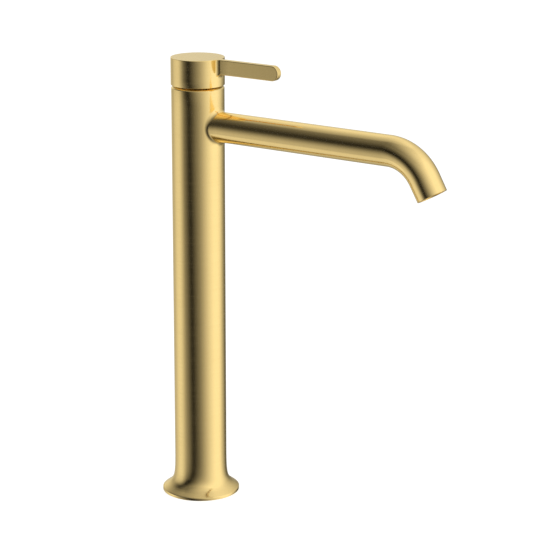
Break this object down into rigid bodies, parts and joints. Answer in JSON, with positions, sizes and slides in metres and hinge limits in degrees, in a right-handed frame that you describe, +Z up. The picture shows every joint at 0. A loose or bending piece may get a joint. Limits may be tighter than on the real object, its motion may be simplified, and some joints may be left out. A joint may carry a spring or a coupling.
{
  "type": "basin mixer faucet",
  "caption": "Tall single-lever basin mixer: round column on a flared foot, straight spout with a bent end, and a round cap with a side blade that turns and lifts.",
  "frame": {"origin": "centre of the foot's underside, on the deck", "axes": "+Z up the column, +X out along the spout, +Y to the right of a user who faces the column from the spout's side"},
  "size_m": [0.2445, 0.0594, 0.3412],
  "materials": {
    "brushed_gold": "brushed gold plating over brass",
    "raw_brass": "machined brass",
    "copper": "drawn copper tube",
    "steel": "machined stainless steel",
    "black_rubber": "moulded rubber",
    "white_plastic": "moulded acetal",
    "grey_plastic": "moulded acetal",
    "red_plastic": "moulded acetal",
    "ceramic": "lapped alumina"
  },
  "bodies": {
    "body": {"foot": "brushed_gold", "column": "brushed_gold", "base_gasket": "black_rubber", "inlet_block": "raw_brass", "hot_riser": "copper", "cold_riser": "copper", "riser_seals": "black_rubber", "valve_body": "raw_brass", "valve_body_seals": "black_rubber", "spout_tube": "brushed_gold", "aerator_housing": "raw_brass", "aerator_insert": "white_plastic", "aerator_seal": "black_rubber", "cartridge_base": "white_plastic", "cartridge_seals": "black_rubber", "disc_seals": "black_rubber", "fixed_disc": "ceramic", "cartridge_housing": "white_plastic", "temperature_stop_ring": "red_plastic", "cartridge_nut": "raw_brass", "cover_ring": "brushed_gold"},
    "turret": {"turret": "grey_plastic", "stem_pin": "steel"},
    "handle": {"stem": "steel", "lever_handle": "brushed_gold", "handle_insert": "raw_brass", "handle_grub_screw": "steel", "screw_plug": "brushed_gold"},
    "mixing_disc": {"disc_carrier": "grey_plastic", "moving_disc": "ceramic"}
  },
  "joints": [
    {"name": "temperature_turn", "type": "hinge", "parent": "body", "child": "turret", "pos_m": [0, 0, 0.3064], "axis": [0, 0, 1], "range_deg": [-45, 45]},
    {"name": "flow_lift", "type": "hinge", "parent": "turret", "child": "handle", "pos_m": [0, 0, 0.3064], "axis": [0, -1, 0], "range_deg": [0, 24]},
    {"name": "mixing_slide", "type": "slide", "parent": "turret", "child": "mixing_disc", "axis": [1, 0, 0], "range_m": [0, 0.00354]}
  ],
  "couplings": [
    {"joint": "mixing_slide", "follows": "flow_lift", "m_per_rad": 0.008438}
  ]
}
